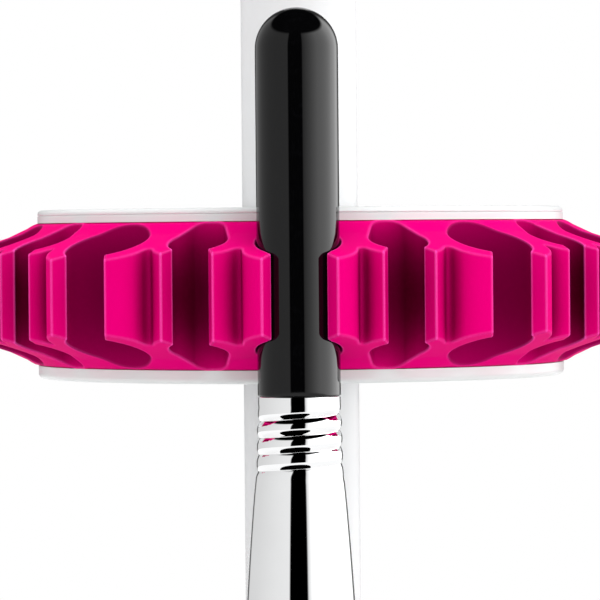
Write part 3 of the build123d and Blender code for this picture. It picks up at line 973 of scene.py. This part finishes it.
def ferrule_radius(drop):
    """Radius of the tube at a distance below the ring's middle, on a smooth line through its profile."""
    points = [(place * mm, radius * mm) for place, radius in ferrule_profile]
    last = len(points) - 1
    i = next(i for i in range(last) if drop <= points[i + 1][0] or i == last - 1)
    here, there = points[i], points[i + 1]
    before, after = points[max(0, i - 1)], points[min(last, i + 2)]
    gap = there[0] - here[0]
    share = (drop - here[0]) / gap
    slope_here = (there[1] - before[1]) / (there[0] - before[0])
    slope_there = (after[1] - here[1]) / (after[0] - here[0])
    return (
        here[1] * (1 + 2 * share) * (1 - share) ** 2
        + slope_here * gap * share * (1 - share) ** 2
        + there[1] * share**2 * (3 - 2 * share)
        + slope_there * gap * share**2 * (share - 1)
    )


def groove_depth(drop, turn):
    """How deep the roller has pressed at a drop and a share of a turn, from the right round the front."""
    screw = (drop - first_groove) / groove_pitch - turn
    press = groove_press * (1 - abs(sin(pi * screw))) ** groove_sharpness
    fading = 1 - groove_fade * smooth_share(drop, *grooves_fade)
    return press * smooth_share(drop, *grooves_start) * fading * (1 - smooth_share(drop, *grooves_end))


around = 160
crimp_step = 0.1 * mm
crimp_rows = 170
tube_step = 0.7 * mm
tube_rows = 45
hem_rise = 0.12 * mm
hem_round = 0.1 * mm
hem_gap = 0.2 * mm
turned_in_radii = (6.6 * mm, 7.2 * mm)
turned_in_rise = 0.02 * mm
hidden_depth = 8.0 * mm
hidden_taper = 0.05 * mm
ferrule_top = ferrule_profile[0][0] * mm
crimp_end = ferrule_top + crimp_rows * crimp_step
drops = [ferrule_top + crimp_step * i for i in range(crimp_rows)]
drops += [crimp_end + tube_step * i for i in range(1, tube_rows + 1)]
drops = [drop for drop in drops if drop < mouth - hem_gap] + [mouth - hem_rise]
turns = [i / around for i in range(around)]
rings = [([radius] * around, ferrule_top - turned_in_rise) for radius in turned_in_radii]
rings += [([ferrule_radius(drop) - groove_depth(drop, turn) for turn in turns], drop) for drop in drops]
lip_radius = ferrule_radius(mouth)
inner_radius = lip_radius - ferrule_wall
rings += [
    ([lip_radius - hem_round] * around, mouth),
    ([inner_radius + hem_round] * around, mouth),
    ([inner_radius] * around, mouth - hem_rise),
    ([inner_radius - hidden_taper] * around, mouth - hidden_depth),
]
ferrule = bmesh.new()
made = []
for radii, drop in rings:
    places = [(radius, -2 * pi * turn, ring_middle - drop) for radius, turn in zip(radii, turns)]
    made.append([ferrule.verts.new(round_point(brush_centre, *place)) for place in places])
bridge(ferrule, made)
bmesh.ops.recalc_face_normals(ferrule, faces=ferrule.faces)
ferrule_mesh = smooth_mesh("crimped_ferrule", ferrule)


def bright_plating(name, colour, roughness):
    """Polished nickel and chrome plate: a clean mirror with faint polishing lines along the tube."""
    material = bpy.data.materials.new(name)
    nodes, links = blank_tree(material)

    haze_frame = nodes.new("NodeFrame")
    haze_frame.label = "Haze of handling"
    polish_frame = nodes.new("NodeFrame")
    polish_frame.label = "Polishing lines"

    place = nodes.new("ShaderNodeTexCoord")
    place.label = "Place on the tube"

    haze = nodes.new("ShaderNodeTexNoise")
    haze.label = "Handling haze"
    haze.inputs["Scale"].default_value = 160.0
    haze.inputs["Detail"].default_value = 5.0

    gloss = nodes.new("ShaderNodeMapRange")
    gloss.label = "Mirror to slight haze"
    gloss.inputs["From Min"].default_value = 0.4
    gloss.inputs["From Max"].default_value = 0.8
    gloss.inputs["To Min"].default_value = roughness
    gloss.inputs["To Max"].default_value = roughness * 2.5

    tone = nodes.new("ShaderNodeValToRGB")
    tone.label = "Plate tone"
    tone.color_ramp.elements[0].position = 0.3
    tone.color_ramp.elements[0].color = (*[part * 0.97 for part in colour], 1.0)
    tone.color_ramp.elements[1].position = 0.7
    tone.color_ramp.elements[1].color = (*colour, 1.0)

    stretch = nodes.new("ShaderNodeMapping")
    stretch.label = "Long along the tube"
    stretch.inputs["Scale"].default_value = (2600.0, 2600.0, 90.0)

    lines = nodes.new("ShaderNodeTexNoise")
    lines.label = "Hairline polish"
    lines.inputs["Scale"].default_value = 1.0

    relief = nodes.new("ShaderNodeBump")
    relief.label = "Hairline relief"
    relief.inputs["Strength"].default_value = 0.03
    relief.inputs["Distance"].default_value = 0.004 * mm

    surface = nodes.new("ShaderNodeBsdfPrincipled")
    surface.label = "Bright plate"
    surface.inputs["Metallic"].default_value = 1.0

    output = nodes.new("ShaderNodeOutputMaterial")
    output.label = "Finished tube"

    lay_out(
        place,
        (surface, output),
        (haze_frame, haze, tone, gloss),
        (polish_frame, stretch, lines, relief),
    )
    links.new(place.outputs["Object"], haze.inputs["Vector"])
    links.new(place.outputs["Object"], stretch.inputs["Vector"])
    links.new(stretch.outputs["Vector"], lines.inputs["Vector"])
    links.new(haze.outputs["Fac"], gloss.inputs["Value"])
    links.new(haze.outputs["Fac"], tone.inputs["Fac"])
    links.new(tone.outputs["Color"], surface.inputs["Base Color"])
    links.new(gloss.outputs["Result"], surface.inputs["Roughness"])
    links.new(lines.outputs["Fac"], relief.inputs["Height"])
    links.new(relief.outputs["Normal"], surface.inputs["Normal"])
    links.new(surface.outputs["BSDF"], output.inputs["Surface"])
    return material


bright_plate = bright_plating("bright_plate", (0.86, 0.865, 0.87), 0.02)
crimped_ferrule = set_piece("crimped_ferrule", ferrule_mesh, bright_plate, "brush")
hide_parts("brush_ferrule")

# ---------------------------------------------------------------- glue plug
# Amber epoxy, poured on the butts of the hairs inside the ferrule. It is out of sight once the brush is
# made.

amber_resin = moulded_plastic(
    "amber_resin", (0.42, 0.26, 0.1), (0.34, 0.2, 0.07), 0.25, 1.5 * mm, 0.05 * mm
)
finish_node("brush_glue_plug", amber_resin)

# ---------------------------------------------------------------- hair
# A dense flat-topped bundle of dark synthetic hair. It is bunched in the ferrule's mouth and spreads
# towards a slightly domed face, where every hair ends in a fine tip.

hair_low, hair_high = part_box("brush_bristles")
hair_bottom = hair_low.z - ring_middle
mouth_radius = 9.55 * mm
spread_radius = (hair_high.x - hair_low.x) / 2
spread_reach = (-0.25, 0.95)
tip_clearance = 0.25 * mm
dome_height = 3.6 * mm


def hair_edge(drop):
    """Radius of the bundle at a share of the way from the ferrule's mouth to the tips."""
    return mouth_radius + (spread_radius - mouth_radius) * smooth_share(drop, *spread_reach)


def tip_line(share):
    """Height of the tips at a share of the way from the middle of the face to its edge."""
    return hair_bottom + tip_clearance + dome_height * share**5


# The core is the middle of the bundle, turned anew a little inside the strands that lie on it; the imported
# bundle is hidden.
core_steps = 12
core_top = -mouth + 3.0 * mm
core_low_edge = hair_bottom + 5.0 * mm
neck_gap = 0.5 * mm
side_gap = 0.7 * mm
face_gap = 1.2 * mm
rim_gap = 0.9 * mm
core_outline = [(0.0, core_top), (mouth_radius - neck_gap, core_top)]
for i in range(core_steps + 1):
    drop = i / core_steps
    core_outline.append((hair_edge(drop) - side_gap, -mouth + (core_low_edge + mouth) * drop))
for i in range(core_steps - 1, -1, -1):
    share = i / core_steps
    core_outline.append((share * (spread_radius - rim_gap), tip_line(share) + face_gap))
core_outline = [(radius, ring_middle + height) for radius, height in core_outline]


def hair(name, dark, light):
    """Dark synthetic hair: a soft sheen, and small changes in tone from strand to strand."""
    material = bpy.data.materials.new(name)
    nodes, links = blank_tree(material)

    colour_frame = nodes.new("NodeFrame")
    colour_frame.label = "Strand colour"
    shine_frame = nodes.new("NodeFrame")
    shine_frame.label = "Strand shine"

    place = nodes.new("ShaderNodeTexCoord")
    place.label = "Place in the bundle"

    along = nodes.new("ShaderNodeMapping")
    along.label = "Long along the strands"
    along.inputs["Scale"].default_value = (2200.0, 2200.0, 60.0)

    strands = nodes.new("ShaderNodeTexNoise")
    strands.label = "Strand by strand"
    strands.inputs["Scale"].default_value = 1.0
    strands.inputs["Detail"].default_value = 3.0

    tone = nodes.new("ShaderNodeValToRGB")
    tone.label = "Dark and lighter strands"
    tone.color_ramp.elements[0].position = 0.35
    tone.color_ramp.elements[0].color = (*dark, 1.0)
    tone.color_ramp.elements[1].position = 0.7
    tone.color_ramp.elements[1].color = (*light, 1.0)

    gloss = nodes.new("ShaderNodeMapRange")
    gloss.label = "Dull and glossy strands"
    gloss.inputs["To Min"].default_value = 0.35
    gloss.inputs["To Max"].default_value = 0.6

    relief = nodes.new("ShaderNodeBump")
    relief.label = "Strand relief"
    relief.inputs["Strength"].default_value = 0.7
    relief.inputs["Distance"].default_value = 0.15 * mm

    surface = nodes.new("ShaderNodeBsdfPrincipled")
    surface.label = "Hair"
    surface.inputs["Sheen Weight"].default_value = 0.25
    surface.inputs["Sheen Roughness"].default_value = 0.4

    output = nodes.new("ShaderNodeOutputMaterial")
    output.label = "Finished hair"

    lay_out(place, (surface, output), (colour_frame, along, strands, tone), (shine_frame, gloss, relief))
    links.new(place.outputs["Object"], along.inputs["Vector"])
    links.new(along.outputs["Vector"], strands.inputs["Vector"])
    links.new(strands.outputs["Fac"], tone.inputs["Fac"])
    links.new(strands.outputs["Fac"], gloss.inputs["Value"])
    links.new(strands.outputs["Fac"], relief.inputs["Height"])
    links.new(tone.outputs["Color"], surface.inputs["Base Color"])
    links.new(gloss.outputs["Result"], surface.inputs["Roughness"])
    links.new(relief.outputs["Normal"], surface.inputs["Normal"])
    links.new(surface.outputs["BSDF"], output.inputs["Surface"])
    return material


dark_hair = hair("dark_hair", (0.008, 0.006, 0.006), (0.03, 0.022, 0.02))
core_mesh = lathe("hair_core", core_outline, brush_centre, steps=96)
hair_core = set_piece("hair_core", core_mesh, dark_hair, "brush")
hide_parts("brush_bristles")

# Strands: just over half of them form the outer skin, and the others show only at the face.
dice = Random(7)
strand_count = 3200
outer_count = 0.55 * strand_count
outer_band = (0.93, 0.985)
inner_start = 0.6
strand_radius = 0.085 * mm
strand_gap = 0.1 * mm
strand_top = -mouth + 1.0 * mm
tip_scatter = 0.5 * mm
lean_scatter = 0.02
stray_scatter = 0.004
tapers = (1.0, 1.0, 1.0, 1.0, 1.0, 0.75, 0.25)
strands = bmesh.new()
for number in range(strand_count):
    outer = number < outer_count
    share = dice.uniform(*outer_band) if outer else outer_band[0] * dice.random() ** 0.5
    turn = dice.uniform(0, 2 * pi)
    lean = dice.gauss(0, lean_scatter)
    stray = 1 + abs(dice.gauss(0, stray_scatter))
    tip_height = tip_line(share) + dice.uniform(0.0, 1.0) * tip_scatter
    first = 0.0 if outer else inner_start
    rows = []
    for i, taper in enumerate(tapers):
        drop = first + (1 - first) * i / (len(tapers) - 1)
        height = ring_middle + strand_top + (tip_height - strand_top) * drop
        radius = min(hair_edge(drop) * share * stray, spread_radius - strand_gap)
        angle = turn + lean * drop
        centre = round_point(brush_centre, radius, angle, height)
        places = [(strand_radius * taper, angle + 2 * pi * corner / 3, height) for corner in range(3)]
        rows.append([strands.verts.new(round_point(centre, *place)) for place in places])
    for upper, lower in zip(rows, rows[1:]):
        for corner in range(3):
            other = (corner + 1) % 3
            strands.faces.new((upper[corner], lower[corner], lower[other], upper[other]))
    strands.faces.new(rows[-1])
    strands.faces.new(rows[0][::-1])
strand_mesh = smooth_mesh("hair_strands", strands)
hair_strands = set_piece("hair_strands", strand_mesh, dark_hair, "brush")

# ---------------------------------------------------------------- floor
# A plain pale sheet under the tower. Away from the middle it runs out into the white of the studio, so
# that no edge and no horizon shows.

floor_radius = 1.5
floor_rings = 40
floor_drop = 0.05 * mm
floor_outline = [(floor_radius * i / floor_rings, -floor_drop) for i in range(floor_rings + 1)]
floor = put("floor", lathe("floor", floor_outline, (0.0, 0.0), steps=96))

paper = bpy.data.materials.new("paper")
nodes, links = blank_tree(paper)

run_out_frame = nodes.new("NodeFrame")
run_out_frame.label = "Run out"
paper_frame = nodes.new("NodeFrame")
paper_frame.label = "Paper and white"

place = nodes.new("ShaderNodeTexCoord")
place.label = "Place on the floor"

distance = nodes.new("ShaderNodeVectorMath")
distance.label = "Distance from the middle"
distance.operation = "LENGTH"

fade = nodes.new("ShaderNodeMapRange")
fade.label = "Floor to studio white"
fade.interpolation_type = "SMOOTHERSTEP"
fade.inputs["From Min"].default_value = 0.15
fade.inputs["From Max"].default_value = 0.5

matte = nodes.new("ShaderNodeBsdfDiffuse")
matte.label = "Matte paper"
matte.inputs["Color"].default_value = (0.86, 0.86, 0.86, 1.0)

glow = nodes.new("ShaderNodeEmission")
glow.label = "Studio white"
glow.inputs["Color"].default_value = (1.0, 1.0, 1.0, 1.0)
glow.inputs["Strength"].default_value = 1.15

join = nodes.new("ShaderNodeMixShader")
join.label = "Paper runs out into white"

output = nodes.new("ShaderNodeOutputMaterial")
output.label = "Floor"

lay_out(place, (join, output), (run_out_frame, distance, fade), (paper_frame, matte, glow))
links.new(place.outputs["Object"], distance.inputs[0])
links.new(distance.outputs["Value"], fade.inputs["Value"])
links.new(fade.outputs["Result"], join.inputs["Fac"])
links.new(matte.outputs["BSDF"], join.inputs[1])
links.new(glow.outputs["Emission"], join.inputs[2])
links.new(join.outputs["Shader"], output.inputs["Surface"])
floor.data.materials.append(paper)

# ---------------------------------------------------------------- studio room
# Tall soft panels stand round the tower with a dark gap at the front. They light it with one set of
# strengths and are mirrored in its gloss with another, and the room behind the tower is white.

studio = bpy.data.worlds.new("studio")
bpy.context.scene.world = studio
nodes, links = blank_tree(studio)

bearing_frame = nodes.new("NodeFrame")
bearing_frame.label = "Bearing, with the front in the middle"
panels_frame = nodes.new("NodeFrame")
panels_frame.label = "Panels"
roof_frame = nodes.new("NodeFrame")
roof_frame.label = "Top of the panels"
white_frame = nodes.new("NodeFrame")
white_frame.label = "White room"

way = nodes.new("ShaderNodeTexCoord")
way.label = "Direction into the room"

parts = nodes.new("ShaderNodeSeparateXYZ")
parts.label = "Its parts"

flip = nodes.new("ShaderNodeMath")
flip.label = "Front is the middle"
flip.operation = "MULTIPLY"
flip.inputs[1].default_value = -1.0

bearing = nodes.new("ShaderNodeMath")
bearing.label = "Bearing"
bearing.operation = "ARCTAN2"

turn_share = nodes.new("ShaderNodeMapRange")
turn_share.label = "Bearing as a share of a turn"
turn_share.inputs["From Min"].default_value = -pi
turn_share.inputs["From Max"].default_value = pi

# Bearing in degrees and strength of the panels there; -90 is the left and 90 the right.
room_light = (
    (-180.0, 1.0),
    (-120.0, 1.3),
    (-60.0, 1.3),
    (-28.0, 1.1),
    (-25.0, 0.05),
    (15.0, 0.05),
    (22.0, 1.2),
    (60.0, 1.5),
    (120.0, 1.6),
    (180.0, 1.0),
)
mirrored_room = (
    (-180.0, 0.12),
    (-156.0, 0.15),
    (-150.0, 0.75),
    (-113.0, 0.80),
    (-50.0, 0.92),
    (-25.0, 0.95),
    (-23.0, 0.0),
    (15.0, 0.0),
    (17.0, 0.8),
    (35.0, 1.8),
    (60.0, 3.6),
    (110.0, 4.5),
    (140.0, 3.0),
    (150.0, 1.0),
    (156.0, 0.15),
    (180.0, 0.12),
)
panel_scale = 5.0
ramps = []
for label, steps in (("Panels as light", room_light), ("Panels as mirrored", mirrored_room)):
    ramp = nodes.new("ShaderNodeValToRGB")
    ramp.label = label
    stops = ramp.color_ramp.elements
    while len(stops) < len(steps):
        stops.new(0.5)
    for stop, (angle, strength) in zip(stops, steps):
        stop.position = (angle + 180.0) / 360.0
        stop.color = (*[strength / panel_scale] * 3, 1.0)
    ramps.append(ramp)
light_ramp, mirror_ramp = ramps

eye = nodes.new("ShaderNodeLightPath")
eye.label = "Seen or lighting"

mirrored = nodes.new("ShaderNodeMix")
mirrored.label = "Light or its mirror image"
mirrored.data_type = "RGBA"

open_roof = nodes.new("ShaderNodeMapRange")
open_roof.label = "Open roof"
open_roof.interpolation_type = "SMOOTHSTEP"
open_roof.inputs["From Min"].default_value = 0.60
open_roof.inputs["From Max"].default_value = 0.70
open_roof.inputs["To Min"].default_value = panel_scale
open_roof.inputs["To Max"].default_value = 0.0

room = nodes.new("ShaderNodeBackground")
room.label = "Light of the room"

seen = nodes.new("ShaderNodeBackground")
seen.label = "White behind the object"
seen.inputs["Color"].default_value = (1.0, 1.0, 1.0, 1.0)
seen.inputs["Strength"].default_value = 1.0

choose = nodes.new("ShaderNodeMixShader")
choose.label = "White where it is seen"

output = nodes.new("ShaderNodeOutputWorld")
output.label = "Studio"

lay_out(
    way,
    (choose, output),
    (bearing_frame, parts, flip, bearing, turn_share),
    (panels_frame, light_ramp, mirror_ramp, mirrored, room),
    (roof_frame, open_roof),
    (white_frame, eye, seen),
)
links.new(way.outputs["Generated"], parts.inputs["Vector"])
links.new(parts.outputs["X"], bearing.inputs[0])
links.new(parts.outputs["Y"], flip.inputs[0])
links.new(flip.outputs["Value"], bearing.inputs[1])
links.new(bearing.outputs["Value"], turn_share.inputs["Value"])
links.new(turn_share.outputs["Result"], light_ramp.inputs["Fac"])
links.new(turn_share.outputs["Result"], mirror_ramp.inputs["Fac"])
links.new(parts.outputs["Z"], open_roof.inputs["Value"])
links.new(eye.outputs["Is Glossy Ray"], mirrored.inputs["Factor"])
links.new(light_ramp.outputs["Color"], mirrored.inputs["A"])
links.new(mirror_ramp.outputs["Color"], mirrored.inputs["B"])
links.new(mirrored.outputs["Result"], room.inputs["Color"])
links.new(open_roof.outputs["Result"], room.inputs["Strength"])
links.new(eye.outputs["Is Camera Ray"], choose.inputs["Fac"])
links.new(room.outputs["Background"], choose.inputs[1])
links.new(seen.outputs["Background"], choose.inputs[2])
links.new(choose.outputs["Shader"], output.inputs["Surface"])

# ---------------------------------------------------------------- panels and flag
# One large soft panel hangs above and a small weak one stands low on the right; neither is mirrored in
# the gloss. A round black card lies in front of the tower, so that the gloss doesn't mirror the floor.

panel_aim = Vector((0.0, 0.0, ring_middle))
for name, place, width, height, power in (
    ("top_panel", (0.1, -0.35, 1.3), 1.0, 1.0, 17.0),
    ("low_panel", (0.3, -0.6, 0.02), 0.8, 0.6, 1.3),
):
    light = bpy.data.lights.new(name, "AREA")
    light.shape = "RECTANGLE"
    light.size = width
    light.size_y = height
    light.energy = power
    panel = put(name, light)
    panel.location = place
    panel.rotation_euler = (panel_aim - Vector(place)).to_track_quat("-Z", "Y").to_euler()
    panel.visible_glossy = False
    panel.visible_camera = False

flag_radius = 0.23
flag_distance = 0.3
flag_bearing = -102.0
flag_middle = polar(flag_distance, flag_bearing) + Vector((0.0, brush_centre[1]))
flag_outline = [(flag_radius * share, 0.0) for share in (0.0, 0.5, 1.0)]
flag = put("flag", lathe("flag", flag_outline, flag_middle, steps=48))
flag.visible_camera = False
flag.visible_diffuse = False
flag.visible_shadow = False

black_card = bpy.data.materials.new("black_card")
nodes, links = blank_tree(black_card)

velvet = nodes.new("ShaderNodeBsdfDiffuse")
velvet.label = "Black velvet"
velvet.location = (0, 0)
velvet.inputs["Color"].default_value = (0.0, 0.0, 0.0, 1.0)

output = nodes.new("ShaderNodeOutputMaterial")
output.label = "Flag"
output.location = (300, 0)

links.new(velvet.outputs["BSDF"], output.inputs["Surface"])
flag.data.materials.append(black_card)

# ---------------------------------------------------------------- camera
# A long lens stands in front of the spool, a little above its middle and a touch to the right, and is
# turned slightly about its own axis.

camera_distance = 0.862
camera_rise = 11.0 * mm
camera_side = radians(0.4)
camera_dip = radians(0.835)
camera_roll = radians(0.5)
camera_left = 0.15 * mm
lens = bpy.data.cameras.new("camera")
lens.lens = 267.4
lens.sensor_width = 36.0
lens.clip_start = 0.01
camera = put("camera", lens)
camera.location = (
    camera_distance * sin(camera_side) - camera_left,
    -camera_distance * cos(camera_side),
    ring_middle + camera_rise,
)
look = Vector((-sin(camera_side) * cos(camera_dip), cos(camera_side) * cos(camera_dip), -sin(camera_dip)))
camera.rotation_euler = look.to_track_quat("-Z", "Y").to_euler()
camera.rotation_euler.rotate_axis("Z", -camera_roll)
bpy.context.scene.camera = camera
bpy.context.scene.view_settings.view_transform = "Standard"
